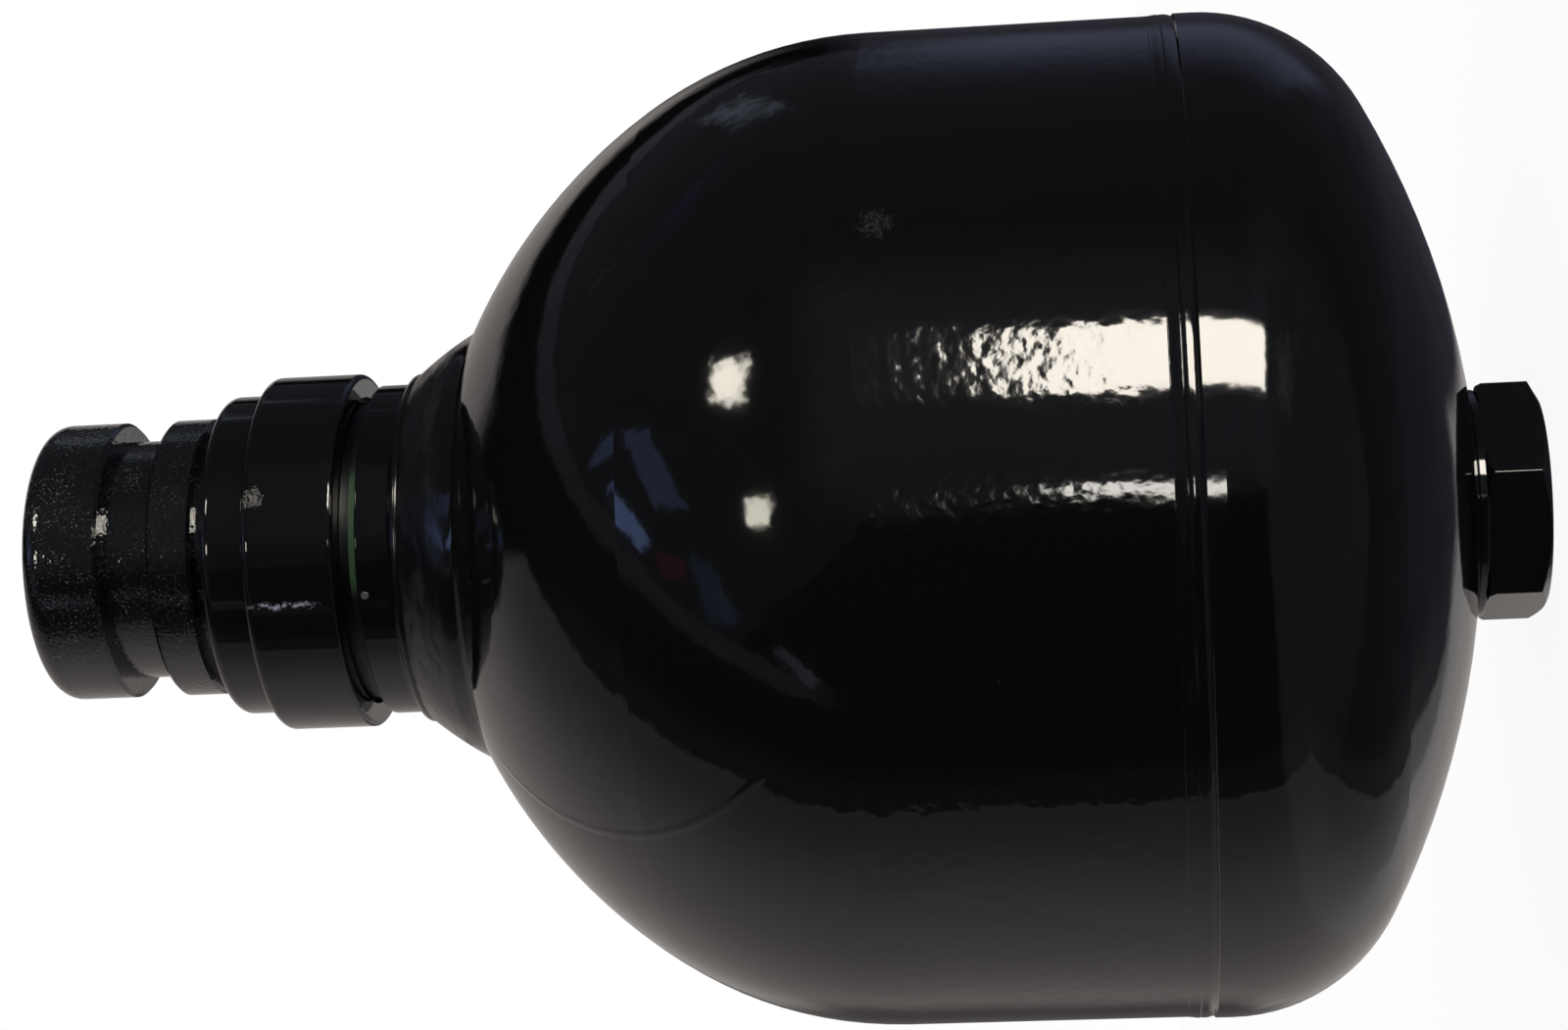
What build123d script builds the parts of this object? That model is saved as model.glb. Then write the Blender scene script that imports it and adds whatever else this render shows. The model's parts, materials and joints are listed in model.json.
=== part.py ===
"""Bladder accumulator with a welded steel shell, a hexagon gas plug and a poppet fluid port.

Millimetres, +Z up.  The origin is on the axis, in the plane of the gas plug's outer face, on which the
accumulator stands with its fluid port upwards.  Nearly every piece is turned, so it is drawn as a half
section in the XZ plane and revolved about Z.
"""

import os
from math import acos, asin, cos, degrees, radians, sin, sqrt, tan

from build123d import *

# ---------------------------------------------------------------- driving dimensions
# shell
shell_radius = 70.0
shell_wall = 6.0
straight_length = 40.7  # from the weld to the start of the port dome
shoulder_radius = 56.4  # first arc of the port dome
shoulder_angle = 32.9  # how far round that arc goes, degrees
crown_radius = 77.9  # second arc of the port dome
crease_radius = 31.2  # where the dome meets the flare of the neck
flare_length = 10.6
flare_bulge = 0.4
neck_radius = 23.7
neck_length = 4.6  # straight part outside the flare
neck_bore_radius = 17.8
neck_seat_radius = 24.5  # flat seat inside the shell
neck_seat_depth = 17.2  # from the neck's face down to that seat
neck_edge = 0.3

# gas cap
cap_step = 0.2  # how far the cap stands proud of the shell
cap_straight = 4.0  # from the weld to the start of the knuckle
cap_knuckle = 25.5
cap_crown = 118.0
cap_flat_depth = 1.2  # spot face under the plug's washer

# weld between shell and cap
weld_width = 2.8
weld_root = 1.6
weld_crown = 0.15
weld_edge = 0.3
backing_width = 12.0
backing_thickness = 1.5

# bladder
bag_wall = 2.5
bag_gap = 0.5  # from the backing ring
bag_rim_radius = 36.0  # where the port end turns in
bag_rim_edge = 4.0
bag_to_poppet = 4.5

# gas boss and plug
plug_flats = 30.0  # across flats
plug_head = 8.5
plug_face_radius = 14.6
plug_chamfer_angle = 30.0
plug_shank_radius = 8.0
plug_shank_length = 14.0
plug_turn = 44.0  # degrees, as tightened
plug_tip = 1.0
plug_corner = 0.4
washer_radius = 15.9
washer_thickness = 1.5
washer_edge = 0.4
boss_radius = 12.0
boss_shoulder_radius = 17.5
boss_flange_radius = 26.0
boss_flange = 3.0
boss_seal_thickness = 1.4
plug_seal_thickness = 1.9

# fluid port body and its poppet
stem_radius = 15.0
port_head_radius = 17.2
port_head = 5.0
port_bore_radius = 10.5
guide_web = 5.0
guide_web_depth = 13.0  # from the port body's inner face to the guide web
guide_hole_radius = 2.2
guide_hole_circle = 7.3
guide_hole_count = 6
poppet_stem_radius = 3.0
poppet_radius = 13.0
poppet_rim = 3.0
poppet_travel = 5.0
stop_washer_radius = 5.0
stop_washer_thickness = 1.0
poppet_nut_flats = 8.0
poppet_nut_height = 4.0
poppet_stem_end = 1.5  # thread left above the nut
spring_wire = 1.4
spring_radius = 6.0  # to the middle of the wire
spring_turns = 4.5

# seals and rings round the stem
clamp_ring = 4.0
clamp_ring_inset = 0.5  # from the rim of the neck's flat seat
support_washer_thickness = 2.0
port_seal_thickness = 2.6
backup_ring_thickness = 1.5
face_seal_outer = 21.9
face_seal_thickness = 1.2
spacer_flange_radius = 21.4
spacer_flange = 4.4

# lock nut
collar_radius = 25.5
collar_length = 13.1
collar_gap = 2.6  # open gap between the neck's face and the collar
collar_opening_radius = 22.2
collar_foot_edge = 0.7
collar_edge = 1.2
nut_radius = 23.0
nut_length = 6.6
nut_edge = 1.5

# port adapter
adapter_bore_radius = 10.0
land_radius = 20.0
undercut_radius = 18.2
undercut = 2.0
inner_land = 6.4
groove_radius = 17.2
groove = 7.1
end_land = 11.3
end_land_edge = 3.0
land_edge = 0.5
adapter_seal_thickness = 1.8
adapter_seat_depth = 11.3  # from the adapter's end down to its seal

# fits, measured on the radius
screw_fit = 0.05
slide_fit = 0.1
seal_fit = 0.02
seat_gap = 0.1

# ---------------------------------------------------------------- levels worked out from them
cap_radius = shell_radius + cap_step
washer_level = plug_head
cap_flat_level = plug_head + washer_thickness
cap_centre_rise = sqrt((cap_crown - cap_knuckle) ** 2 - (cap_radius - cap_knuckle) ** 2)
cap_apex_level = cap_flat_level - cap_flat_depth
cap_centre_level = cap_apex_level + cap_crown
cap_knuckle_level = cap_centre_level - cap_centre_rise
weld_level = cap_knuckle_level + cap_straight
dome_level = weld_level + straight_length

shoulder_centre = shell_radius - shoulder_radius
crown_centre = shoulder_centre - (crown_radius - shoulder_radius) * cos(radians(shoulder_angle))
crown_level = dome_level - (crown_radius - shoulder_radius) * sin(radians(shoulder_angle))


def crown_height(radius, inset=0.0):
    """Level of the port dome's crown arc at a radius, for a surface inset from the outside."""
    return crown_level + sqrt((crown_radius - inset) ** 2 - (radius - crown_centre) ** 2)


def cap_height(radius, inset=0.0):
    """Level of the gas cap's crown at a radius, for a surface inset from the outside."""
    return cap_centre_level - sqrt((cap_crown - inset) ** 2 - radius**2)


crease_level = crown_height(crease_radius)
neck_level = crease_level + flare_length
neck_face = neck_level + neck_length
neck_seat = neck_face - neck_seat_depth

clamp_ring_level = neck_seat - clamp_ring
port_inner_face = clamp_ring_level - port_head
guide_web_level = port_inner_face + guide_web_depth
seat_height = poppet_radius - port_bore_radius

collar_level = neck_face + collar_gap
nut_level = collar_level + collar_length
nut_face = nut_level + nut_length
adapter_inner_land = nut_face + undercut
adapter_groove = adapter_inner_land + inner_land
adapter_end_land = adapter_groove + groove
adapter_face = adapter_end_land + end_land
adapter_seat = adapter_face - adapter_seat_depth
stem_top = adapter_seat - adapter_seal_thickness

support_washer_level = neck_seat
port_seal_level = support_washer_level + support_washer_thickness
backup_ring_level = port_seal_level + port_seal_thickness
spacer_level = backup_ring_level + backup_ring_thickness
spacer_flange_level = neck_face + face_seal_thickness
spacer_top = spacer_flange_level + spacer_flange

poppet_open = port_inner_face - poppet_travel - seat_gap  # level of the rim's upper edge at rest
poppet_bottom = poppet_open - poppet_rim
stop_washer_level = guide_web_level + guide_web + seat_gap
poppet_nut_level = stop_washer_level + stop_washer_thickness
poppet_stem_top = poppet_nut_level + poppet_nut_height + poppet_stem_end

bag_inset = shell_wall + backing_thickness + bag_gap
bag_port_level = poppet_bottom - bag_to_poppet


# ---------------------------------------------------------------- shared half sections and rings
def port_dome(inset, start_level, rim_radius):
    """Draw the wall from start_level up the cylinder and over the port dome to rim_radius."""
    shoulder = shoulder_radius - inset
    crown = crown_radius - inset
    rim_angle = 90 - degrees(asin((rim_radius - crown_centre) / crown))
    Line((shell_radius - inset, start_level), (shell_radius - inset, dome_level))
    CenterArc((shoulder_centre, dome_level), shoulder, 0, shoulder_angle)
    CenterArc((crown_centre, crown_level), crown, shoulder_angle, rim_angle - shoulder_angle)


def gas_cap(inset, start_level, rim_radius):
    """Draw the wall from start_level down to the knuckle and over the cap's crown to rim_radius."""
    knuckle = cap_knuckle - inset
    crown = cap_crown - inset
    knuckle_centre = cap_radius - cap_knuckle
    knuckle_angle = degrees(acos(knuckle_centre / (cap_crown - cap_knuckle)))
    rim_angle = degrees(acos(rim_radius / crown))
    Line((cap_radius - inset, start_level), (cap_radius - inset, cap_knuckle_level))
    CenterArc((knuckle_centre, cap_knuckle_level), knuckle, 0, -knuckle_angle)
    CenterArc((0, cap_centre_level), crown, -knuckle_angle, knuckle_angle - rim_angle)


def cap_crown_arc(inset, first_radius, last_radius):
    """Draw a stretch of a sphere concentric with the cap's crown, from one radius to another."""
    crown = cap_crown - inset
    first_angle = degrees(acos(first_radius / crown))
    last_angle = degrees(acos(last_radius / crown))
    CenterArc((0, cap_centre_level), crown, -first_angle, first_angle - last_angle)


def turned(*outline):
    """Return a part turned from a straight-sided half section, given as (radius, level) points."""
    with BuildPart() as piece:
        with BuildSketch(Plane.XZ):
            with BuildLine():
                Polyline(*outline, close=True)
            make_face()
        revolve(axis=Axis.Z)
    return piece


def plain_ring(inner_radius, outer_radius, level, height, edge=0.0):
    """Return a flat ring that stands on a level, with its outer corners rounded by edge."""
    with BuildPart() as ring:
        with BuildSketch(Plane.XY.offset(level)):
            Circle(outer_radius)
            Circle(inner_radius, mode=Mode.SUBTRACT)
        extrude(amount=height)
        if edge:
            rims = ring.edges().filter_by(GeomType.CIRCLE)
            fillet(rims.group_by(SortBy.RADIUS)[-1], edge)
    return ring


def seal_ring(inner_radius, outer_radius, level, thickness):
    """Return an elastomer ring whose oval section fills its gland."""
    with BuildPart() as ring:
        with BuildSketch(Plane.XZ):
            with Locations(((inner_radius + outer_radius) / 2, level + thickness / 2)):
                Ellipse((outer_radius - inner_radius) / 2, thickness / 2)
        revolve(axis=Axis.Z)
    return ring


# ---------------------------------------------------------------- shell, cap and weld
def shell_edge(side):
    """Return the three corners of the weld preparation, side is 1 on the shell and -1 on the cap."""
    radius = shell_radius if side > 0 else cap_radius
    outer = weld_level + side * weld_width / 2
    root = weld_level + side * weld_root / 2
    return (radius, outer + side * weld_edge), (radius - weld_edge, outer), (radius - shell_wall, root)


with BuildPart() as shell_body:
    edge, shoulder, root = shell_edge(1)
    with BuildSketch(Plane.XZ):
        with BuildLine():
            port_dome(0, edge[1], crease_radius)
            SagittaArc((crease_radius, crease_level), (neck_radius, neck_level), -flare_bulge)
            Polyline(
                (neck_radius, neck_level),
                (neck_radius, neck_face),
                (neck_bore_radius, neck_face),
                (neck_bore_radius, neck_seat),
                (neck_seat_radius, neck_seat),
                (neck_seat_radius, crown_height(neck_seat_radius, shell_wall)),
            )
            port_dome(shell_wall, root[1], neck_seat_radius)
            Polyline(root, shoulder, edge)
        make_face()
    revolve(axis=Axis.Z)
    neck_rims = shell_body.edges().filter_by(GeomType.CIRCLE).filter_by_position(
        Axis.Z, neck_face - 0.01, neck_face + 0.01
    )
    fillet(neck_rims.sort_by(SortBy.RADIUS)[-1], neck_edge)
    chamfer(shell_body.faces().sort_by(Axis.Z)[-1].inner_wires().edges(), neck_edge / 2)

with BuildPart() as shell_cap:
    edge, shoulder, root = shell_edge(-1)
    hole_radius = boss_radius + slide_fit
    flat_radius = sqrt(cap_crown**2 - (cap_centre_level - cap_flat_level) ** 2)
    with BuildSketch(Plane.XZ):
        with BuildLine():
            gas_cap(0, edge[1], flat_radius)
            Polyline(
                (flat_radius, cap_flat_level),
                (hole_radius, cap_flat_level),
                (hole_radius, cap_height(hole_radius, shell_wall)),
            )
            gas_cap(shell_wall, root[1], hole_radius)
            Polyline(root, shoulder, edge)
        make_face()
    revolve(axis=Axis.Z)

with BuildPart() as seam_weld:
    _, shell_shoulder, shell_root = shell_edge(1)
    _, cap_shoulder, cap_root = shell_edge(-1)
    with BuildSketch(Plane.XZ):
        with BuildLine():
            Polyline(shell_shoulder, shell_root, cap_root, cap_shoulder)
            ThreePointArc(cap_shoulder, (shell_radius + weld_crown, weld_level), shell_shoulder)
        make_face()
    revolve(axis=Axis.Z)

backing_outer = shell_radius - shell_wall - seal_fit
backing_ring = plain_ring(
    backing_outer - backing_thickness, backing_outer, weld_level - backing_width / 2, backing_width
)

# ---------------------------------------------------------------- bladder, gas boss and plug
bag_mouth_radius = boss_shoulder_radius + slide_fit


def bag_section(inset, port_level):
    """Draw the bladder's half section at an inset, closed on the axis and open at the gas boss."""
    rim_level = crown_height(bag_rim_radius, inset)
    dip_level = port_level + (rim_level - port_level) / 5
    port_dome(inset, weld_level, bag_rim_radius)
    ThreePointArc((bag_rim_radius, rim_level), (bag_rim_radius / 2, dip_level), (0, port_level))
    Line((shell_radius - inset, weld_level), (cap_radius - inset, weld_level))
    gas_cap(inset, weld_level, bag_mouth_radius)
    mouth_level = cap_height(bag_mouth_radius, inset)
    Polyline((bag_mouth_radius, mouth_level), (bag_mouth_radius, 0), (0, 0), (0, port_level))


with BuildPart() as bladder:
    with BuildSketch(Plane.XZ):
        with BuildLine():
            bag_section(bag_inset, bag_port_level)
        make_face()
    revolve(axis=Axis.Z)
    with BuildSketch(Plane.XZ):
        with BuildLine():
            bag_section(bag_inset + bag_wall, bag_port_level - bag_wall)
        make_face()
    revolve(axis=Axis.Z, mode=Mode.SUBTRACT)
    rim = bladder.edges().filter_by(GeomType.CIRCLE).filter_by_position(Axis.Z, bag_port_level, neck_face)
    fillet(rim, bag_rim_edge)

with BuildPart() as gas_boss:
    boss_bore = plug_shank_radius + screw_fit
    boss_end = cap_flat_level + seat_gap
    seal_pocket_radius = boss_bore + plug_seal_thickness
    inside = bag_inset + bag_wall
    boss_top = cap_height(boss_flange_radius, inside) + boss_flange
    with BuildSketch(Plane.XZ):
        with BuildLine():
            cap_crown_arc(shell_wall, boss_radius, boss_shoulder_radius)
            Line(
                (boss_shoulder_radius, cap_height(boss_shoulder_radius, shell_wall)),
                (boss_shoulder_radius, cap_height(boss_shoulder_radius, inside)),
            )
            cap_crown_arc(inside, boss_shoulder_radius, boss_flange_radius)
            Polyline(
                (boss_flange_radius, cap_height(boss_flange_radius, inside)),
                (boss_flange_radius, boss_top),
                (boss_bore, boss_top),
                (boss_bore, boss_end + plug_seal_thickness),
                (seal_pocket_radius, boss_end + plug_seal_thickness),
                (seal_pocket_radius, boss_end),
                (boss_radius, boss_end),
                (boss_radius, cap_height(boss_radius, shell_wall)),
            )
        make_face()
    revolve(axis=Axis.Z)
    boss_groove = boss_end + 2 * boss_seal_thickness
    with BuildSketch(Plane.XY.offset(boss_groove)):
        Circle(boss_radius)
        Circle(boss_radius - boss_seal_thickness, mode=Mode.SUBTRACT)
    extrude(amount=boss_seal_thickness, mode=Mode.SUBTRACT)

boss_seal = seal_ring(
    boss_radius - boss_seal_thickness + seal_fit,
    boss_radius + slide_fit - seal_fit,
    boss_groove + seal_fit,
    boss_seal_thickness - 2 * seal_fit,
)

with BuildPart() as gas_plug:
    with BuildSketch() as gas_plug_flats:
        RegularPolygon(plug_flats / 2, 6, major_radius=False, rotation=plug_turn)
        fillet(gas_plug_flats.vertices(), plug_corner)
    extrude(amount=plug_head)
    corner_radius = plug_flats / sqrt(3)
    corner_drop = (corner_radius - plug_face_radius) * tan(radians(plug_chamfer_angle))
    with BuildSketch(Plane.XZ):
        with BuildLine():
            Polyline(
                (0, 0),
                (plug_face_radius, 0),
                (corner_radius, corner_drop),
                (corner_radius, plug_head - corner_drop / 2),
                (corner_radius - corner_drop / 2, plug_head),
                (0, plug_head),
                close=True,
            )
        make_face()
    revolve(axis=Axis.Z, mode=Mode.INTERSECT)
    with BuildSketch(Plane.XY.offset(plug_head)):
        Circle(plug_shank_radius)
    extrude(amount=plug_shank_length)
    chamfer(gas_plug.faces().sort_by(Axis.Z)[-1].edges(), plug_tip)

plug_washer = plain_ring(
    plug_shank_radius + slide_fit, washer_radius, washer_level, washer_thickness, washer_edge
)
plug_seal = seal_ring(
    plug_shank_radius + seal_fit,
    seal_pocket_radius - seal_fit,
    cap_flat_level + seal_fit,
    plug_seal_thickness + seat_gap - 2 * seal_fit,
)

# ---------------------------------------------------------------- fluid port body and anti-extrusion ring
with BuildPart() as port_body:
    with BuildSketch(Plane.XZ):
        with BuildLine():
            Polyline(
                (port_bore_radius + seat_height, port_inner_face),
                (port_head_radius, port_inner_face),
                (port_head_radius, clamp_ring_level),
                (stem_radius, clamp_ring_level),
                (stem_radius, stem_top),
                (port_bore_radius, stem_top),
                (port_bore_radius, port_inner_face + seat_height),
                close=True,
            )
        make_face()
    revolve(axis=Axis.Z)
    with BuildSketch(Plane.XY.offset(guide_web_level)):
        Circle(port_bore_radius)
        Circle(poppet_stem_radius + slide_fit, mode=Mode.SUBTRACT)
        with PolarLocations(guide_hole_circle, guide_hole_count):
            Circle(guide_hole_radius, mode=Mode.SUBTRACT)
    extrude(amount=guide_web)

anti_extrusion_ring = plain_ring(
    stem_radius + slide_fit, neck_seat_radius - clamp_ring_inset, clamp_ring_level, clamp_ring
)
support_washer = plain_ring(
    stem_radius + slide_fit,
    neck_bore_radius - slide_fit,
    support_washer_level,
    support_washer_thickness,
)
port_seal = seal_ring(
    stem_radius + seal_fit, neck_bore_radius - seal_fit, port_seal_level, port_seal_thickness
)
backup_ring = plain_ring(
    stem_radius + slide_fit, neck_bore_radius - slide_fit, backup_ring_level, backup_ring_thickness
)
spacer_bore = stem_radius + slide_fit
spacer_ring = turned(
    (spacer_bore, spacer_level),
    (neck_bore_radius - slide_fit, spacer_level),
    (neck_bore_radius - slide_fit, spacer_flange_level),
    (spacer_flange_radius, spacer_flange_level),
    (spacer_flange_radius, spacer_top),
    (spacer_bore, spacer_top),
)
face_seal = plain_ring(neck_bore_radius, face_seal_outer, neck_face, face_seal_thickness)

# ---------------------------------------------------------------- lock nut and port adapter
with BuildPart() as lock_nut:
    with BuildSketch(Plane.XZ):
        with BuildLine():
            Polyline(
                (stem_radius + screw_fit, spacer_top),
                (collar_opening_radius, spacer_top),
                (collar_opening_radius, collar_level),
                (collar_radius, collar_level),
                (collar_radius, nut_level),
                (nut_radius, nut_level),
                (nut_radius, nut_face),
                (stem_radius + screw_fit, nut_face),
                close=True,
            )
        make_face()
    revolve(axis=Axis.Z)
    rims = lock_nut.edges().filter_by(GeomType.CIRCLE)
    for level, edge in (
        (collar_level, collar_foot_edge),
        (nut_level, collar_edge),
        (nut_face, nut_edge),
    ):
        fillet(rims.filter_by_position(Axis.Z, level, level).sort_by(SortBy.RADIUS)[-1], edge)

with BuildPart() as port_adapter:
    with BuildSketch(Plane.XZ):
        with BuildLine():
            Polyline(
                (stem_radius + screw_fit, nut_face),
                (undercut_radius, nut_face),
                (undercut_radius, adapter_inner_land),
                (land_radius, adapter_inner_land),
                (land_radius, adapter_groove),
                (groove_radius, adapter_groove),
                (groove_radius, adapter_end_land),
                (land_radius, adapter_end_land),
                (land_radius, adapter_face),
                (adapter_bore_radius, adapter_face),
                (adapter_bore_radius, adapter_seat),
                (stem_radius + screw_fit, adapter_seat),
                close=True,
            )
        make_face()
    revolve(axis=Axis.Z)
    rims = port_adapter.edges().filter_by(GeomType.CIRCLE)
    lands = rims.filter_by(lambda rim: abs(rim.radius - land_radius) < land_edge)
    fillet(lands.sort_by(Axis.Z)[-1], end_land_edge)
    chamfer(lands.sort_by(Axis.Z)[:-1], land_edge)

adapter_seal = plain_ring(
    port_bore_radius + slide_fit, stem_radius, stem_top, adapter_seal_thickness
)

# ---------------------------------------------------------------- poppet and what rides on it
poppet = turned(
    (0, poppet_bottom),
    (poppet_radius - seat_gap, poppet_bottom),
    (poppet_radius - seat_gap, poppet_open),
    (port_bore_radius - seat_gap, poppet_open + seat_height),
    (poppet_stem_radius, poppet_open + seat_height),
    (poppet_stem_radius, poppet_stem_top),
    (0, poppet_stem_top),
)
stop_washer = plain_ring(
    poppet_stem_radius + screw_fit, stop_washer_radius, stop_washer_level, stop_washer_thickness
)

with BuildPart() as poppet_nut:
    with BuildSketch(Plane.XY.offset(poppet_nut_level)):
        RegularPolygon(poppet_nut_flats / 2, 6, major_radius=False)
        Circle(poppet_stem_radius + screw_fit, mode=Mode.SUBTRACT)
    extrude(amount=poppet_nut_height)

with BuildPart() as poppet_spring:
    spring_foot = poppet_open + seat_height + spring_wire / 2 + seat_gap
    spring_height = guide_web_level - spring_foot - spring_wire / 2 - seat_gap
    with BuildLine():
        coil = Helix(spring_height / spring_turns, spring_height, spring_radius, center=(0, 0, spring_foot))
    with BuildSketch(Plane(origin=coil @ 0, z_dir=coil % 0)):
        Circle(spring_wire / 2)
    sweep(is_frenet=True)

# ---------------------------------------------------------------- labels and files
pieces = {
    "shell_body": shell_body,
    "shell_cap": shell_cap,
    "seam_weld": seam_weld,
    "backing_ring": backing_ring,
    "bladder": bladder,
    "gas_boss": gas_boss,
    "boss_seal": boss_seal,
    "gas_plug": gas_plug,
    "plug_washer": plug_washer,
    "plug_seal": plug_seal,
    "port_body": port_body,
    "anti_extrusion_ring": anti_extrusion_ring,
    "support_washer": support_washer,
    "port_seal": port_seal,
    "backup_ring": backup_ring,
    "spacer_ring": spacer_ring,
    "face_seal": face_seal,
    "lock_nut": lock_nut,
    "port_adapter": port_adapter,
    "adapter_seal": adapter_seal,
    "poppet": poppet,
    "poppet_spring": poppet_spring,
    "stop_washer": stop_washer,
    "poppet_nut": poppet_nut,
}

os.makedirs("parts", exist_ok=True)
for name, piece in pieces.items():
    piece.part.label = name
    export_step(piece.part, f"parts/{name}.step")
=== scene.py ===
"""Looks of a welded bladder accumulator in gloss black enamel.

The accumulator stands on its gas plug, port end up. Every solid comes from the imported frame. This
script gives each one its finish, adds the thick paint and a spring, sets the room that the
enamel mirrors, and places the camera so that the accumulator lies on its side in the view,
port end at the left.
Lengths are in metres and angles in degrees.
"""

import json
from math import cos, radians, sin

import bpy
import numpy as np
from mathutils import Matrix, Vector


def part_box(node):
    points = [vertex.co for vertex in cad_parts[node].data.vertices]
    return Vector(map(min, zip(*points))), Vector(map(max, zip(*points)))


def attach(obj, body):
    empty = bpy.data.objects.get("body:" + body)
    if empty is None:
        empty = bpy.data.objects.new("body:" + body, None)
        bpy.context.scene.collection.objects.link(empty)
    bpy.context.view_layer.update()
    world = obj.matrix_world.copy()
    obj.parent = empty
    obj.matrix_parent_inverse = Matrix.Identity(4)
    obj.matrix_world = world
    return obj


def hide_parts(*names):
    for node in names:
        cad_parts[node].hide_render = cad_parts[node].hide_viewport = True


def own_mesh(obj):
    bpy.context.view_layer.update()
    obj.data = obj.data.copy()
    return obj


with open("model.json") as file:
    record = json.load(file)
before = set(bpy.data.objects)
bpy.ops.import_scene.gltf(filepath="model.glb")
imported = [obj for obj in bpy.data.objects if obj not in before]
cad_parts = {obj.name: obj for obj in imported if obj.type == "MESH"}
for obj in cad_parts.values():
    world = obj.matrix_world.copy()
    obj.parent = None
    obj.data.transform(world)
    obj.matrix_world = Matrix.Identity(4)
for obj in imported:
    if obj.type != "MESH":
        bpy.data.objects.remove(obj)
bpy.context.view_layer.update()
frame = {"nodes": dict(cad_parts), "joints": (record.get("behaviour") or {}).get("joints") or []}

MM = 0.001
TURN = 2 * np.pi
TO_DEGREES = 180 / np.pi

# Levels along the axis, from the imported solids
PORT_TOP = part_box("port_adapter")[1].z
COLLAR_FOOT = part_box("lock_nut")[0].z
SHELL_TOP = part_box("shell_body")[1].z
SEAM_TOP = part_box("seam_weld")[1].z

# The shell, and where its straight wall, its flare and its neck end
SHELL_RADIUS = 70.0 * MM
STRAIGHT_WALL = 39.3 * MM
FLARE_LENGTH = 10.6 * MM
NECK_LENGTH = 4.6 * MM
DOME_FOOT = SEAM_TOP + STRAIGHT_WALL
NECK_FOOT = SHELL_TOP - NECK_LENGTH
CREASE = NECK_FOOT - FLARE_LENGTH

# Paint beside the weld: it stands a hair off the wall, and its root lies inside the wall
SEAM_PAINT_FOOT = SEAM_TOP - 0.9 * MM
SEAM_PAINT_WIDTH = 1.7 * MM
SEAM_PAINT_RISE = 0.15 * MM
SEAM_PAINT_CLEAR = 0.006 * MM
SEAM_PAINT_ROOT = 0.3 * MM

# The bead at the foot of the neck, an oval in section
BEAD_RADIUS = 24.72 * MM
BEAD_LEVEL = NECK_FOOT - 1.35 * MM
BEAD_HALF_WIDTH = 0.42 * MM
BEAD_STRETCH = 1.6

# The poppet's spring and how far the poppet closes it
SPRING_WIRE = 1.4 * MM
SPRING_TURNS = 4.5
POPPET_SLIDE = "poppet_slide"
POPPET_TRAVEL = next(j for j in frame["joints"] if j["name"] == POPPET_SLIDE)["range_m"][1]

# Depths of the enamel's relief, each as a multiple of the first
COAT_DEPTH = 0.02 * MM
SAG, DIMPLES, PITS = 10.0, 2.1, 0.3
RUNS, BLISTERS, WIPE, MARKS = 20.0, 6.0, 3.0, 4.0

# Marks in the enamel, and one painted highlight: centre and radius in millimetres
BLISTER_SPOT = (0, -35, 146.5), 3.5
CHIP_SPOT = (8.0, -24.6, 177.2), 1.5
DROP_SPOTS = [((-6.1, -22.9, 162.2), 0.6), ((3.7, -23.4, 165.0), 0.6)]
# A dim pale patch painted into the enamel where a far glint shows: a painted highlight
PAINTED_GLINT_SPOT = (38.2, -58.7, 87.3), 2.6

# The plane in which a cloth left a faint curved line on the dome
WIPE_WAY = (-0.16, 0.73, -0.67)
WIPE_PLACE = -109.9 * MM
WIPE_HALF_WIDTH = 0.3 * MM

# The room that the gloss mirrors, and how finely its lights are divided
ROOM_RADIUS = 40.0
PANE_RADIUS = ROOM_RADIUS * 0.97
PANE_STEPS = 15
BENCH_TINT = (1.0, 0.93, 0.90)
WALL_TINT = (0.95, 0.97, 1.25)
TOP_WALL_LIGHT = (0.10, 0.115, 0.19)

# Where the camera stands, from a point on the axis at the weld: to its right, up and ahead
CAMERA_AIM = Vector((0.0, 0.0, 0.0500))
CAMERA_OFFSET = Vector((0.0558, -0.0001, 0.4515))
CAMERA_TILT = 5.66
CAMERA_ROLL = -2.47
CAMERA_LENS = 73.3
CAMERA_SENSOR = 36.0


# ---------------------------------------------------------------- node trees
class Value:
    """An output socket. Arithmetic on it adds Math nodes to its tree."""

    def __init__(self, tree, socket):
        self.tree = tree
        self.socket = socket

    def math(self, operation, *others):
        return math_node(self.tree, operation, self, *others)

    def __add__(self, other):
        return self.math("ADD", other)

    def __sub__(self, other):
        return self.math("SUBTRACT", other)

    def __rsub__(self, other):
        return math_node(self.tree, "SUBTRACT", other, self)

    def __mul__(self, other):
        return self.math("MULTIPLY", other)

    def __neg__(self):
        return self.math("MULTIPLY", -1)

    __radd__ = __add__
    __rmul__ = __mul__


class Tree:
    """A node tree and the one method that adds a node to it."""

    def __init__(self, node_tree):
        self.nodes = node_tree.nodes
        self.links = node_tree.links
        self.nodes.clear()

    def node(self, kind, settings=None, inputs=None, output=0):
        """Adds a node. Settings come first, then the values or links of its sockets."""
        made = self.nodes.new(kind)
        for name, value in (settings or {}).items():
            setattr(made, name, value)
        for name, value in (inputs or {}).items():
            if isinstance(value, Value):
                self.links.new(value.socket, made.inputs[name])
            else:
                made.inputs[name].default_value = value
        return Value(self, made.outputs[output]) if made.outputs else None


def math_node(tree, operation, *values):
    return tree.node("ShaderNodeMath", {"operation": operation}, dict(enumerate(values)))


def vector_math(tree, operation, *vectors, output=0):
    settings = {"operation": operation}
    return tree.node("ShaderNodeVectorMath", settings, dict(enumerate(vectors)), output)


def scaled(tree, colour, level):
    """A colour brightened or dimmed by level."""
    inputs = {"Vector": colour, "Scale": level}
    return tree.node("ShaderNodeVectorMath", {"operation": "SCALE"}, inputs)


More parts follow.
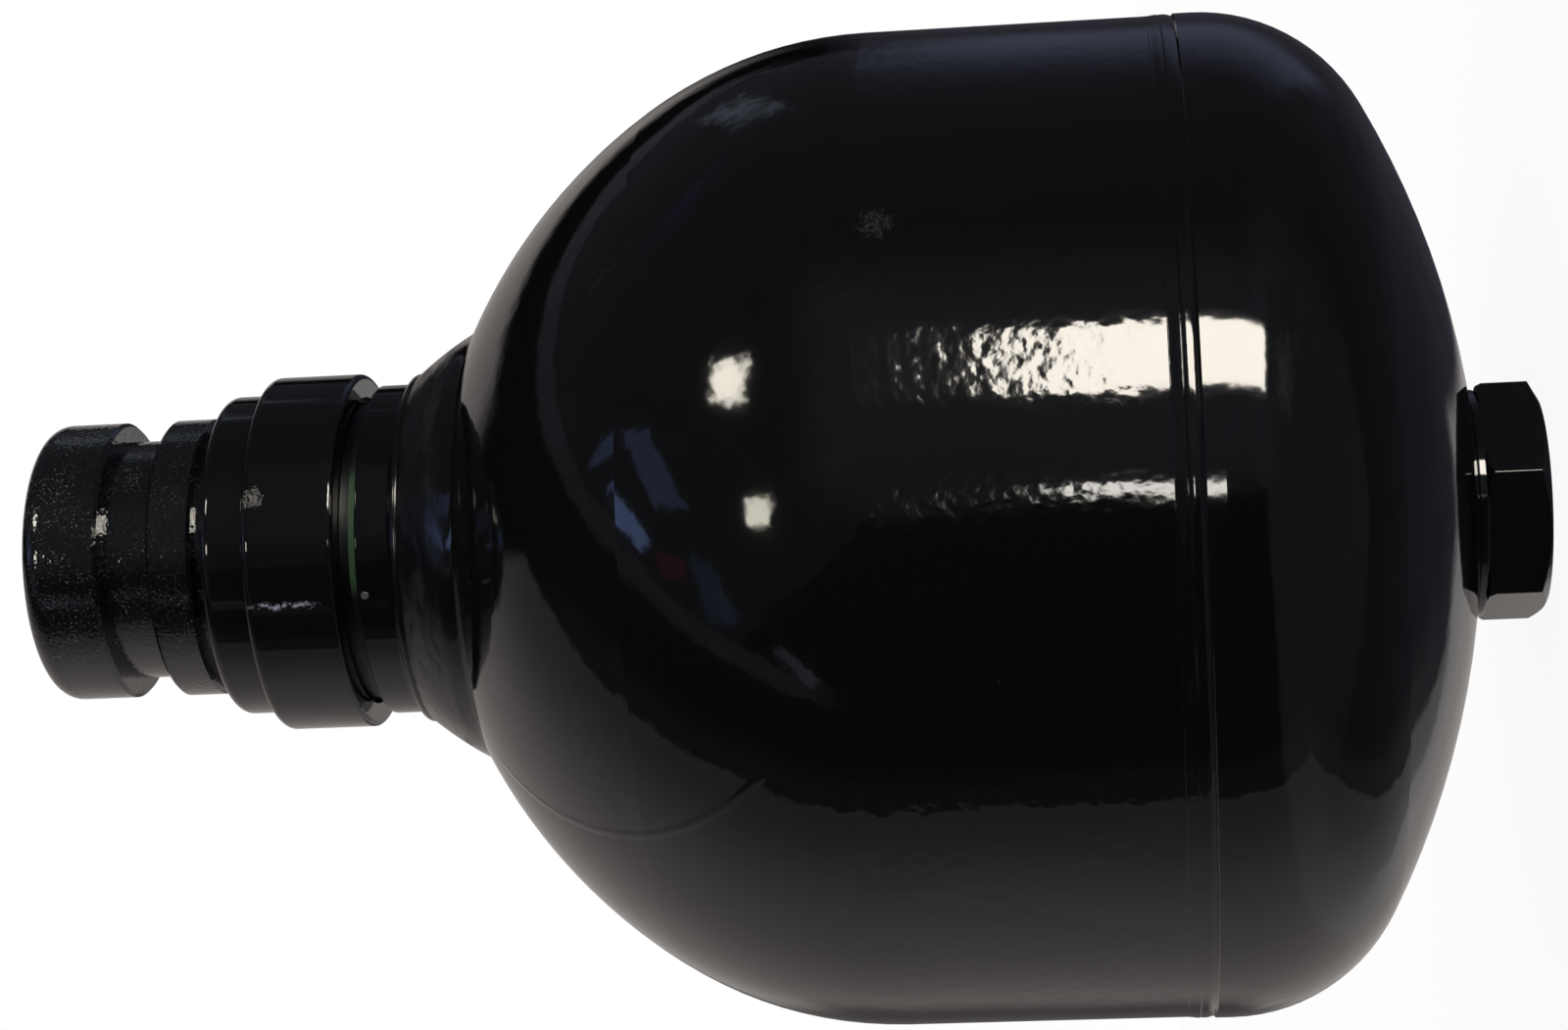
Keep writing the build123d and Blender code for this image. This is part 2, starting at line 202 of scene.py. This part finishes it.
def mix_colour(tree, factor, low, high):
    """low where factor is 0, high where it is 1."""
    settings = {"data_type": "RGBA", "clamp_factor": True}
    return tree.node("ShaderNodeMix", settings, {0: factor, 6: low, 7: high}, output=2)


def smooth_step(value, start, end):
    """0 below start, 1 above end and a smooth rise between; falls instead if end is the lower."""
    inputs = {"Value": value, "From Min": start, "From Max": end}
    if end < start:
        inputs = {"Value": value, "From Min": end, "From Max": start, "To Min": 1.0, "To Max": 0.0}
    return value.tree.node("ShaderNodeMapRange", {"interpolation_type": "SMOOTHSTEP"}, inputs)


def band(value, low, high, soft):
    """1 between low and high, fading to 0 over soft on either side."""
    return smooth_step(value, low - soft, low + soft) * smooth_step(value, high + soft, high - soft)


def noise(tree, point, scale, detail=2.0, roughness=0.5):
    inputs = {"Vector": point, "Scale": scale, "Detail": detail, "Roughness": roughness}
    return tree.node("ShaderNodeTexNoise", {"normalize": True}, inputs)


def split(tree, point):
    """The three parts of a vector."""
    parts = tree.node("ShaderNodeSeparateXYZ", inputs={0: point})
    return [Value(tree, socket) for socket in parts.socket.node.outputs]


def object_point(tree):
    return tree.node("ShaderNodeTexCoord", output="Object")


def heading_of(tree, x, y):
    """Heading round the axis from the front (-Y) towards +X."""
    return math_node(tree, "ARCTAN2", x, -y) * TO_DEGREES


def bump(tree, height, distance, strength=1.0):
    inputs = {"Height": height, "Distance": distance, "Strength": strength}
    return tree.node("ShaderNodeBump", inputs=inputs)


def grey(level):
    return (level, level, level, 1.0)


def new_material(name):
    material = bpy.data.materials.new(name)
    material.use_nodes = True
    return material, Tree(material.node_tree)


def finish_with(tree, surface):
    tree.node("ShaderNodeOutputMaterial", inputs={"Surface": surface})


def principled(tree, **sockets):
    """Ends the material in a Principled shader; an underscore stands for a space."""
    named = {name.replace("_", " "): value for name, value in sockets.items()}
    finish_with(tree, tree.node("ShaderNodeBsdfPrincipled", inputs=named))


def emission(tree, colour):
    return tree.node("ShaderNodeEmission", inputs={"Color": colour, "Strength": 1.0})


# ---------------------------------------------------------------- finishes
def spot(tree, point, centre, radius, ragged=0.0):
    """1 within radius of a centre, fading out at a ragged rim. All are in millimetres."""
    place = tuple(part * MM for part in centre)
    away = vector_math(tree, "DISTANCE", point, place, output=1)
    if ragged:
        away = away + (noise(tree, point, 1500.0, 3.0, 0.6) - 0.5) * (ragged * MM)
    return smooth_step(away, radius * MM, radius * 0.6 * MM)


def peel_depth(z):
    """How deep the orange peel is: full between the weld and the dome, shallow beyond them."""
    depth = smooth_step(z, SEAM_TOP - 12 * MM, SEAM_TOP + 14 * MM) * 0.75 + 0.25
    return depth * (1 - smooth_step(z, DOME_FOOT, DOME_FOOT + 14 * MM) * 0.65)


def flare_runs(tree, point, z):
    """Where the flare of the neck is, and the runs that the wet coat left round it."""
    flare = smooth_step(z, CREASE, CREASE + 3 * MM) * smooth_step(z, NECK_FOOT, NECK_FOOT - 2 * MM)
    squeezed = vector_math(tree, "MULTIPLY", point, (1.0, 1.0, 2.5))
    return flare, noise(tree, squeezed, 110.0) * flare


def wipe_line(tree, point, x, z, front):
    """A narrow arc on the dome, where its surface meets one plane."""
    across = vector_math(tree, "DOT_PRODUCT", point, WIPE_WAY, output=1)
    line = band(across, WIPE_PLACE - WIPE_HALF_WIDTH, WIPE_PLACE + WIPE_HALF_WIDTH, 0.3 * MM)
    return line * smooth_step(x, -28 * MM, -31 * MM) * smooth_step(z, 96 * MM, 106 * MM) * front


def collar_smear(x, z, dimples, speckle, front):
    """Dried paint dragged along the collar, broken up into flecks."""
    along = band(z, COLLAR_FOOT + 3.5 * MM, COLLAR_FOOT + 11.5 * MM, 2.0 * MM)
    across = band(x + dimples * (1.6 * MM), -6.5 * MM, -6.0 * MM, 0.4 * MM)
    return across * along * front * smooth_step(speckle + dimples * 0.3, 0.60, 0.72)


def black_enamel(name, peel=1.0, base=0.0026):
    """Sprayed gloss black: orange peel over a slow wave where the wet coat sagged, runs round the
    flare of the neck, a few blisters, a wiped line, settled dust, a chip, a smear, two drops, and a
    dim pale patch that is a painted highlight where a far glint shows."""
    material, tree = new_material(name)
    point = object_point(tree)
    x, y, z = split(tree, point)
    front = smooth_step(y, 0.0, -5 * MM)
    sag = noise(tree, point, 45.0, 1.0)
    dimples = noise(tree, point, 480.0, 1.0, 0.4)
    pits = noise(tree, point, 1300.0, 1.0)
    speckle = noise(tree, point, 1900.0, 3.0, 0.7)

    coat = sag * SAG + (dimples * DIMPLES + pits * PITS) * peel_depth(z) * peel
    flare, runs = flare_runs(tree, point, z)
    blisters = spot(tree, point, *BLISTER_SPOT) * pits
    wipe = wipe_line(tree, point, x, z, front)
    height = coat + runs * RUNS + blisters * BLISTERS + wipe * WIPE

    dust = smooth_step(speckle, 0.72, 0.79)
    chip = spot(tree, point, *CHIP_SPOT, ragged=3.5) * smooth_step(speckle, 0.40, 0.55)
    drops = 0
    for centre, radius in DROP_SPOTS:
        drops = drops + spot(tree, point, centre, radius, ragged=0.9)
    # Painted highlight: a dim pale patch standing in for a far glint of light
    painted_glint = spot(tree, point, *PAINTED_GLINT_SPOT, ragged=5.0) * smooth_step(speckle, 0.40, 0.62)
    smear = collar_smear(x, z, dimples, speckle, front)
    streaks = smooth_step(runs, 0.50, 0.72) * 0.5

    # Pale specks and patches: settled dust, streaks, and the painted highlight of the glint
    pale = dust + painted_glint * 0.35 + streaks * 0.2
    colour = mix_colour(tree, pale, grey(base), grey(0.05))
    colour = mix_colour(tree, smear, colour, (0.26, 0.25, 0.33, 1.0))
    colour = mix_colour(tree, chip, colour, (0.11, 0.10, 0.09, 1.0))
    colour = mix_colour(tree, drops, colour, (0.06, 0.055, 0.055, 1.0))
    matt = dust + painted_glint * 0.4 + smear + chip + drops + streaks
    principled(
        tree,
        Base_Color=colour,
        Roughness=(0.06 + flare * 0.16 + matt * 0.35).math("MINIMUM", 0.6),
        Normal=bump(tree, height + (chip + drops + smear) * MARKS, COAT_DEPTH),
    )
    return material


def turned_metal(name, colour, roughness, ring_pitch=0.12 * MM):
    """Lathe-turned metal: fine rings round the axis over a slow drift in brightness."""
    material, tree = new_material(name)
    point = object_point(tree)
    x, y, z = split(tree, point)
    radius = (x * x + y * y).math("SQRT")
    rings = ((radius + z) * (TURN / ring_pitch)).math("SINE")
    drift = noise(tree, point, 90.0, 3.0)
    dull = tuple(0.7 * part for part in colour)
    principled(
        tree,
        Base_Color=mix_colour(tree, drift, dull + (1.0,), colour + (1.0,)),
        Metallic=1.0,
        Roughness=roughness + drift * 0.12,
        Normal=bump(tree, rings, 0.002 * MM, 0.5),
    )
    return material


def soft_solid(name, colour, roughness, grain=0.03 * MM, coloured_arc=None):
    """Rubber or plastic: an even colour, faint mottling and a fine moulded grain. Where
    coloured_arc gives two headings, the colour turns near-black outside that arc."""
    material, tree = new_material(name)
    point = object_point(tree)
    mottle = noise(tree, point, 250.0, 3.0)
    dark = tuple(0.75 * part for part in colour)
    shade = mix_colour(tree, mottle, dark + (1.0,), colour + (1.0,))
    if coloured_arc:
        x, y, _ = split(tree, point)
        # Near-black outside the arc of headings, own colour inside it
        in_coloured_arc = band(heading_of(tree, x, y) + mottle * 4, *coloured_arc, soft=5)
        shade = mix_colour(tree, in_coloured_arc, grey(0.003), shade)
    principled(
        tree,
        Base_Color=shade,
        Roughness=roughness + mottle * 0.1,
        Normal=bump(tree, noise(tree, point, 2500.0), grain),
    )
    return material


def overspray(name):
    """Gloss black that dried dusty: fine pale grains lie thickest near the open end."""
    material, tree = new_material(name)
    point = object_point(tree)
    _, _, z = split(tree, point)
    toward_end = smooth_step(z, PORT_TOP - 26 * MM, PORT_TOP - 2 * MM)
    cloud = noise(tree, point, 160.0, 3.0)
    grains = noise(tree, point, 3600.0, 2.0, 0.7)
    beads = noise(tree, point, 1500.0, 1.0)
    speck = smooth_step(grains + cloud * 0.3 + toward_end * 0.05, 0.82, 0.88)
    principled(
        tree,
        Base_Color=mix_colour(tree, speck, grey(0.0032), grey(0.10)),
        IOR=1.7,
        Roughness=0.07 + cloud * 0.05 + speck * 0.2,
        Normal=bump(tree, beads + speck, 0.06 * MM),
    )
    return material


def dress():
    """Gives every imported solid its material."""
    enamel = black_enamel("black_enamel")
    collar_enamel = black_enamel("black_enamel_on_collar", peel=0.5, base=0.003)
    # The plug's base colour is painted light: brighter than the rest of the enamel, to make up for
    # the shade near the floor
    plug_enamel_painted_brighter = black_enamel("black_enamel_on_plug_painted_brighter", peel=0.5, base=0.009)
    sprayed = overspray("overspray_on_port")
    steel = turned_metal("turned_steel", (0.42, 0.41, 0.40), 0.28)
    plated = turned_metal("zinc_plated_steel", (0.62, 0.62, 0.60), 0.22)
    # Dark oiled steel for the spacer ring, its colour taken down to near-black as painted shade in
    # the gap under the collar
    dark_oiled_as_gap_shade = soft_solid("oiled_steel_darkened_as_gap_shade", (0.002, 0.002, 0.002), 0.35)
    rubber = soft_solid("bladder_rubber", (0.012, 0.012, 0.013), 0.55)
    seal = soft_solid("seal_rubber", (0.010, 0.010, 0.011), 0.45)
    # The green seal keeps its colour only from heading -12 to 31 degrees and is near-black round
    # the rest
    green = soft_solid("green_seal", (0.028, 0.10, 0.033), 0.40, coloured_arc=(-12, 31))
    ptfe = soft_solid("white_ptfe", (0.78, 0.78, 0.74), 0.40)
    finishes = {
        enamel: ["shell_body", "shell_cap", "seam_weld"],
        collar_enamel: ["lock_nut"],
        plug_enamel_painted_brighter: ["gas_plug", "plug_washer"],
        dark_oiled_as_gap_shade: ["spacer_ring"],
        sprayed: ["port_adapter"],
        steel: ["backing_ring", "gas_boss", "port_body", "support_washer", "poppet"],
        plated: ["poppet_spring", "stop_washer", "poppet_nut"],
        rubber: ["bladder"],
        seal: ["boss_seal", "plug_seal", "anti_extrusion_ring", "port_seal", "adapter_seal"],
        green: ["face_seal"],
        ptfe: ["backup_ring"],
    }
    for material, names in finishes.items():
        for name in names:
            mesh = frame["nodes"][name].data
            mesh.materials.clear()
            mesh.materials.append(material)
    return enamel, plated


# ---------------------------------------------------------------- meshes
def quads_between(index):
    """One quad to each cell of a grid of point numbers. It faces the way that stepping along a
    row, crossed with stepping to the next row, points."""
    corners = [index[:-1, :-1], index[:-1, 1:], index[1:, 1:], index[1:, :-1]]
    return np.stack(corners, axis=-1).reshape(-1, 4)


def add_mesh(name, points, faces, material, smooth=0):
    """An object from points and faces. The first of its faces, smooth in number, shade smoothly."""
    mesh = bpy.data.meshes.new(name)
    mesh.from_pydata(points.reshape(-1, 3), [], faces)
    mesh.polygons.foreach_set("use_smooth", np.arange(len(faces)) < smooth)
    mesh.materials.append(material)
    made = bpy.data.objects.new(name, mesh)
    bpy.context.scene.collection.objects.link(made)
    return made


def grid_object(name, points, material):
    """A flat-shaded mesh from a grid of points, rows by columns by 3."""
    rows, columns = points.shape[:2]
    index = np.arange(rows * columns).reshape(rows, columns)
    return add_mesh(name, points, quads_between(index), material)


# ---------------------------------------------------------------- thick paint
def paint_ring(name, section, material, segments=360):
    """A closed ring round the axis: the point at (u, v) is (r cos u, r sin u, z), where r and z
    are the radius and level of its section at v."""
    turn = np.linspace(0, TURN, segments, endpoint=False)[:, None]
    radius, level = section.T
    points = np.stack([radius * np.cos(turn), radius * np.sin(turn), level + 0 * turn], -1)
    index = np.arange(segments * len(section)).reshape(segments, -1)
    faces = quads_between(np.pad(index, ((0, 1), (0, 1)), mode="wrap").T)
    ring = add_mesh(name, points, faces, material, smooth=len(faces))
    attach(ring, "accumulator")


def thick_paint(enamel):
    """Paint that filled the groove on the port side of the weld, half a cosine wave in section,
    and the oval bead that it left where it ran together at the foot of the neck."""
    v = np.linspace(0, 1, 17)
    rise = (0.5 + 0.5 * np.cos(np.pi * v)) * SEAM_PAINT_RISE
    level = SEAM_PAINT_FOOT + v * SEAM_PAINT_WIDTH
    outer = np.stack([SHELL_RADIUS + SEAM_PAINT_CLEAR + rise, level], -1)
    inner = outer[::-4] - np.array([SEAM_PAINT_ROOT, 0.0])
    paint_ring("seam_paint", np.concatenate([outer, inner]), enamel)

    turn = np.linspace(0, TURN, 16, endpoint=False)
    oval = BEAD_HALF_WIDTH * np.stack([np.cos(turn), BEAD_STRETCH * np.sin(turn)], -1)
    paint_ring("neck_paint_bead", np.array([BEAD_RADIUS, BEAD_LEVEL]) + oval, enamel)


# ---------------------------------------------------------------- the spring
def close_spring(material, steps=220, sides=14):
    """The poppet's spring, built at its full length. The middle of the wire is at
    (R cos a, R sin a, foot + rise u) with a = 2 pi turns u, and the wire's rim lies at angle v
    round it: (wire cos v) outwards and (wire sin v) upwards."""
    low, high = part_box("poppet_spring")
    wire = SPRING_WIRE / 2
    coil = (high.x - low.x) / 2 - wire
    u = np.linspace(0, 1, steps)[:, None]
    v = np.linspace(0, TURN, sides, endpoint=False)[None, :]
    angle = TURN * SPRING_TURNS * u
    reach = coil + wire * np.cos(v)
    level = low.z + wire + (high.z - low.z - 2 * wire) * u + wire * np.sin(v)
    points = np.stack([reach * np.cos(angle), reach * np.sin(angle), level], -1)
    index = np.arange(steps * sides).reshape(steps, sides)
    side = quads_between(np.pad(index, ((0, 0), (0, 1)), mode="wrap").T)
    ends = [index[0].tolist(), index[-1][::-1].tolist()]
    spring = add_mesh("coil_spring", points, side.tolist() + ends, material, smooth=len(side))
    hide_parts("poppet_spring")
    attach(spring, "accumulator")
    length = high.z - low.z
    squashed = (length - POPPET_TRAVEL) / length
    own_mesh(spring)


# ---------------------------------------------------------------- the room
def sphere_points(radius, rows=48, columns=96):
    """Round the axis by u and from pole to pole by v: (cos u cos v, sin u cos v, sin v) radii."""
    u = np.linspace(0, TURN, columns)[None, :]
    v = np.linspace(-np.pi / 2, np.pi / 2, rows)[:, None]
    return radius * np.stack([np.cos(u) * np.cos(v), np.sin(u) * np.cos(v), np.sin(v) + 0 * u], -1)


def way_out(heading, height):
    """The unit vector at a heading, from the front (-Y) towards +X, and a height towards the port
    end: (sin heading cos height, -cos heading cos height, sin height)."""
    a, b = np.radians(heading), np.radians(height)
    return np.stack([np.sin(a) * np.cos(b), -np.cos(a) * np.cos(b), np.sin(b)], -1)


def pane_points(corners, radius, steps):
    """A patch between four corners: at (u, v) the corner directions are mixed by (1-u)(1-v),
    u(1-v), uv and (1-u)v, and the mix is pushed out to radius."""
    ways = way_out(*np.array(corners, float).T)
    u = np.linspace(0, 1, steps)[None, :, None]
    v = np.linspace(0, 1, steps)[:, None, None]
    mix = (1 - v) * ((1 - u) * ways[0] + u * ways[1]) + v * ((1 - u) * ways[3] + u * ways[2])
    return radius * mix / np.linalg.norm(mix, axis=-1, keepdims=True)


def mark_inside(made, steps):
    """Keeps how far each point of a pane lies in from its edges, 1 at the middle."""
    side = 1 - np.abs(np.linspace(-1, 1, steps))
    inside = np.minimum(side[None, :], side[:, None])
    attribute = made.data.attributes.new("inside", "FLOAT", "POINT")
    attribute.data.foreach_set("value", inside.ravel())


def pane_light(name, colour, patchy, soft):
    """Light of one colour, dimmer in drifting patches, and clear within soft of its edges."""
    material, tree = new_material(name)
    point = object_point(tree)
    drift = noise(tree, point, 0.3)
    light = emission(tree, scaled(tree, colour, drift * patchy + (1 - patchy / 2)))
    inside = tree.node("ShaderNodeAttribute", {"attribute_name": "inside"}, output=2)
    ragged = (noise(tree, point, 0.9) - 0.5) * (2 * soft)
    shown = smooth_step(inside + ragged, 0.0, soft)
    clear = tree.node("ShaderNodeBsdfTransparent")
    finish_with(tree, tree.node("ShaderNodeMixShader", inputs={0: shown, 1: clear, 2: light}))
    return material


# Name, corners as (heading, height), colour, how patchy the light is and how soft its edges are
PANES = [
    ("long_lamp", [(28, -26), (44, -26), (44, 1.8), (28, 1.8)], (24, 22.5, 20), 0.0, 0.06),
    ("second_lamp", [(4.4, -6), (8, -6), (8, 2), (4.4, 2)], (14, 13.5, 12.5), 1.2, 0.5),
    ("high_round_lamp", [(36, 42), (31, 31), (44, 29), (49, 40)], (20, 19, 16.5), 0.2, 0.5),
    ("low_round_lamp", [(2, 26), (10, 26), (10, 34), (2, 34)], (14, 13.5, 11.5), 0.2, 0.4),
    ("tall_window", [(52, 66), (42, 60), (8, 50), (12, 62)], (0.22, 0.29, 0.54), 0.5, 0.15),
    ("low_window", [(34, 76), (40, 72), (-1, 62), (-6, 66)], (0.60, 0.86, 1.70), 0.6, 0.2),
    ("side_window", [(58, 77), (61, 70), (52, 66), (49, 73)], (0.22, 0.32, 0.60), 0.5, 0.2),
    ("red_box", [(-2, 62), (-6, 52), (-16, 51), (-14, 61)], (0.18, 0.05, 0.06), 0.6, 0.3),
    ("teal_window", [(-3, 52), (-6, 45), (-23, 35), (-26, 46)], (0.10, 0.15, 0.25), 0.8, 0.3),
    ("end_window", [(-28, 29), (-26, 26), (-33, 15), (-37, 16)], (0.26, 0.26, 0.35), 0.6, 0.4),
    ("roof_light", [(147, 24), (144, 18), (137, 9), (141, 12)], (0.14, 0.15, 0.19), 0.6, 0.8),
    ("sky_light", [(132, 24), (135, 17), (113, 12), (115, 22)], (0.26, 0.31, 0.39), 1.0, 0.9),
    ("pale_beam", [(118, 55), (116, 52), (107, 42), (108, 44)], (0.14, 0.12, 0.12), 0.6, 0.6),
    ("blue_beam", [(103, 49), (104, 36), (110, 22), (92, 36)], (0.055, 0.06, 0.13), 0.6, 0.9),
    ("cap_glow", [(20, -40), (50, -44), (46, -28), (22, -29)], (0.30, 0.29, 0.30), 0.8, 0.9),
]


class Way:
    """A way out from the middle of the room: its parts along the axes, its heading from the front
    (-Y) towards +X, that heading's size either way round, its height towards the port end (+Z),
    and a ripple that roughens the edges of what is seen there."""

    def __init__(self, tree):
        out = vector_math(tree, "NORMALIZE", object_point(tree))
        self.x, self.y, self.z = split(tree, out)
        self.heading = heading_of(tree, self.x, self.y)
        self.around = self.heading.math("ABSOLUTE")
        self.height = self.z.math("ARCSINE") * TO_DEGREES
        self.ripple = noise(tree, out, 9.0, 4.0, 0.6) - 0.5


def bench_light(way):
    """The bench, on the near side of three straight edges and brighter towards its middle, with a
    darker level strip across it. Gives that, and the weak spill of light past its edges."""
    front_edge = way.y - way.x * 0.477
    port_edge = way.y - way.x * 0.665 - way.z * 0.218
    gas_edge = way.z - way.x * 1.13 + way.y * 0.53
    within = front_edge.math("MINIMUM", port_edge).math("MINIMUM", gas_edge) + way.ripple * 0.05
    strip = smooth_step(way.around, 134, 150) * band(way.height + way.ripple * 6, -5, 10, 3)
    bench = smooth_step(within, -0.005, 0.015) * smooth_step(way.x, 0.0, -0.04)
    bench = bench * (0.20 + smooth_step(within, 0.0, 0.65) * 0.28) * (1 - strip * 0.75)
    spill = band(within, -0.14, 0.0, 0.10) * smooth_step(way.x, 0.0, -0.3) * 0.05
    return bench, spill


def backdrop_light(way):
    """A pale backdrop behind the vessel, wide at the port end and narrow at the gas end."""
    beyond_port = smooth_step(way.around + way.ripple * 8, 151, 157) * band(way.height, 12, 52, 6)
    beyond_gas = smooth_step(way.x, 0.085, 0.05) * smooth_step(way.y, 0.0, 0.3)
    leaning = way.height + way.ripple * 4 - way.x * 4
    return beyond_port.math("MAXIMUM", beyond_gas * band(leaning, -33, -8, 1.5)) * 0.42


def wall_light(way):
    """The lit part of the room, cut off by a long pale rail, with a dark figure in front of it.
    Gives that, and the light of the wall beyond the top of the vessel."""
    rail_side = way.x * 1.32 - way.y - way.z * 0.35 + way.ripple * 0.05
    below_rail = smooth_step(way.height, 8, 2)
    inside = smooth_step(rail_side, -0.015, 0.02).math("MAXIMUM", below_rail)
    rail = band(rail_side, -0.15, -0.01, 0.02) * smooth_step(way.height, 8, 22) * 0.095
    near_wall = band(way.heading, 8, 58, 10) * band(way.height, -26, 16, 8)
    cap_wall = smooth_step(way.height, -14, -26) * smooth_step(way.around, 90, 60)
    figure_edge = way.height.math("MAXIMUM", 0) * -0.85 + 5.0
    figure = smooth_step(figure_edge - way.heading, -2, 2) * band(way.height, -25, 36, 1.5)
    wall = inside * (0.045 + near_wall * 0.09 + cap_wall * 0.05) * (1 - figure) + rail
    top_wall = smooth_step(way.heading + way.ripple * 8, 112, 138)
    top_wall = top_wall * smooth_step(way.heading, 153, 140)
    top_wall = top_wall * band(way.height + way.ripple * 6, -25, 4, 3)
    return wall * (1 + way.ripple * 0.8), top_wall * inside


def room_light():
    """The walls, ceiling and bench that the gloss mirrors, as light of a way out."""
    material, tree = new_material("room_light")
    way = Way(tree)
    bench, spill = bench_light(way)
    wall, top_wall = wall_light(way)
    pale = bench.math("MAXIMUM", backdrop_light(way)) + spill
    light = scaled(tree, BENCH_TINT, pale)
    light = vector_math(tree, "ADD", light, scaled(tree, WALL_TINT, wall))
    light = vector_math(tree, "ADD", light, scaled(tree, TOP_WALL_LIGHT, top_wall))
    finish_with(tree, emission(tree, light))
    return material


def show_in_gloss_only(made):
    made.visible_camera = False
    made.visible_diffuse = False
    made.visible_transmission = False
    made.visible_shadow = False


def make_room():
    show_in_gloss_only(grid_object("room", sphere_points(ROOM_RADIUS), room_light()))
    for name, corners, colour, patchy, soft in PANES:
        light = pane_light(name + "_light", colour, patchy, soft)
        pane = grid_object(name, pane_points(corners, PANE_RADIUS, PANE_STEPS), light)
        mark_inside(pane, PANE_STEPS)
        show_in_gloss_only(pane)


# ---------------------------------------------------------------- floor, world and lamp
def floor_finish(whiteness=0.93):
    """A pale matt floor that the camera sees close to white, with the shadow kept."""
    material, tree = new_material("pale_floor")
    camera_ray = tree.node("ShaderNodeLightPath", output="Is Camera Ray")
    speckle = noise(tree, object_point(tree), 30.0, 3.0)
    pale = mix_colour(tree, speckle, grey(0.86), grey(0.9))
    matt = tree.node("ShaderNodeBsdfDiffuse", inputs={"Color": pale})
    white = emission(tree, grey(1.0))
    share = camera_ray * whiteness
    finish_with(tree, tree.node("ShaderNodeMixShader", inputs={0: share, 1: matt, 2: white}))
    return material


def make_floor(half_width=3.0):
    side = np.linspace(-half_width, half_width, 9)
    x, y = np.meshgrid(side, side, indexing="xy")
    floor = grid_object("floor", np.stack([x, y, 0 * x], -1), floor_finish())
    floor.visible_glossy = False


def make_world():
    """White to the camera, to gloss and to glass; a plain soft light to everything else."""
    world = bpy.data.worlds.new("soft_light")
    world.use_nodes = True
    bpy.context.scene.world = world
    tree = Tree(world.node_tree)

    def ray(name):
        return tree.node("ShaderNodeLightPath", output=name)

    seen = ray("Is Camera Ray") + ray("Is Glossy Ray") + ray("Is Transmission Ray")
    colour = mix_colour(tree, seen.math("MINIMUM", 1.0), grey(0.75), grey(1.0))
    background = tree.node("ShaderNodeBackground", inputs={"Color": colour, "Strength": 1.0})
    tree.node("ShaderNodeOutputWorld", inputs={"Surface": background})


def make_lamp(name, place, aim, size, power):
    """A round lamp that lights the object but isn't mirrored in it."""
    light = bpy.data.lights.new(name, "AREA")
    light.shape = "DISK"
    light.size = size
    light.energy = power
    lamp = bpy.data.objects.new(name, light)
    lamp.location = place
    lamp.rotation_euler = (Vector(aim) - Vector(place)).to_track_quat("-Z", "Y").to_euler()
    lamp.visible_glossy = False
    bpy.context.scene.collection.objects.link(lamp)


# ---------------------------------------------------------------- the camera
def make_camera():
    """Looks along +Y past the weld, turned a quarter so that the axis runs across the view."""
    tilt, roll = radians(CAMERA_TILT), radians(CAMERA_ROLL)
    ahead = Vector((0.0, cos(tilt), sin(tilt)))
    along = Vector((0.0, sin(tilt), -cos(tilt)))
    right = cos(roll) * along + sin(roll) * Vector((1.0, 0.0, 0.0))
    up = right.cross(ahead)
    camera = bpy.data.cameras.new("camera")
    camera.lens = CAMERA_LENS
    camera.sensor_width = CAMERA_SENSOR
    placed = bpy.data.objects.new("camera", camera)
    offset = CAMERA_OFFSET.x * right + CAMERA_OFFSET.y * up + CAMERA_OFFSET.z * ahead
    turn = Matrix((right, up, -ahead)).transposed().to_4x4()
    placed.matrix_world = Matrix.Translation(CAMERA_AIM - offset) @ turn
    bpy.context.scene.collection.objects.link(placed)
    bpy.context.scene.camera = placed


# ---------------------------------------------------------------- putting it together
enamel, plated = dress()
thick_paint(enamel)
close_spring(plated)
make_room()
make_floor()
make_world()
make_lamp("key_lamp", place=(0.9, -1.1, 0.9), aim=(0, 0, 0.1), size=0.6, power=8.0)
make_camera()
bpy.context.scene.view_settings.view_transform = "Standard"
